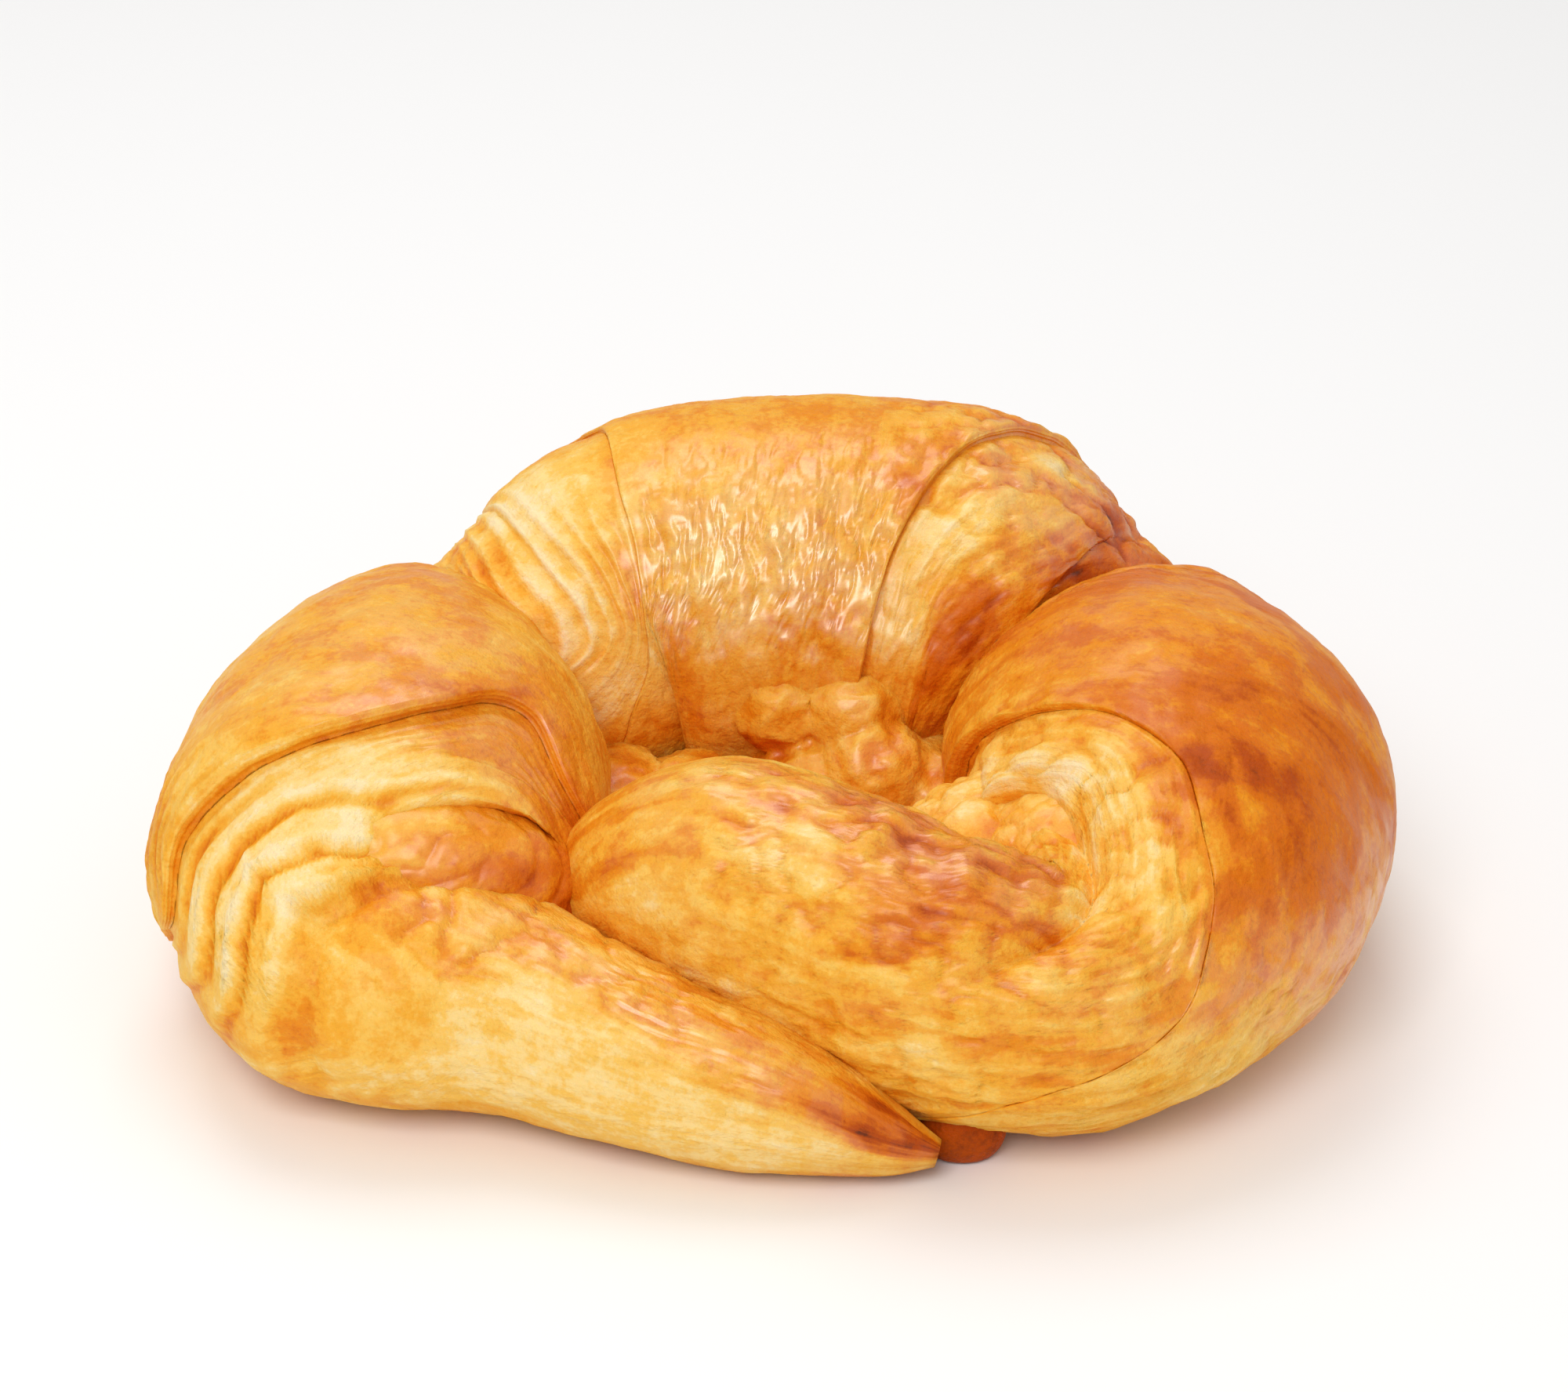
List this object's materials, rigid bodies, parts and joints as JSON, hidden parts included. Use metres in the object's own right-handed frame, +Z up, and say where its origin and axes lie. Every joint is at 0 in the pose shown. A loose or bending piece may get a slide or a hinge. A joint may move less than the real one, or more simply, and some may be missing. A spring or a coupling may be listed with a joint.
{
  "type": "butter croissant",
  "caption": "Ring-shaped butter croissant: a tapering laminated roll with stepped layers, bent round so that its two horns cross at the front.",
  "frame": {"origin": "centre of the bounding box in plan, on the flat base that rests on the table", "axes": "+Z up from the base; +X to the croissant's right and +Y towards its thick back, as seen from the side where the two horns cross"},
  "size_m": [0.1472, 0.1192, 0.0524],
  "materials": {
    "crust": "baked laminated crust, golden to deep brown, egg-washed sheen on the browned bands, pale and matt where the layers opened"
  },
  "bodies": {
    "root": {"croissant": "crust"}
  },
  "joints": []
}
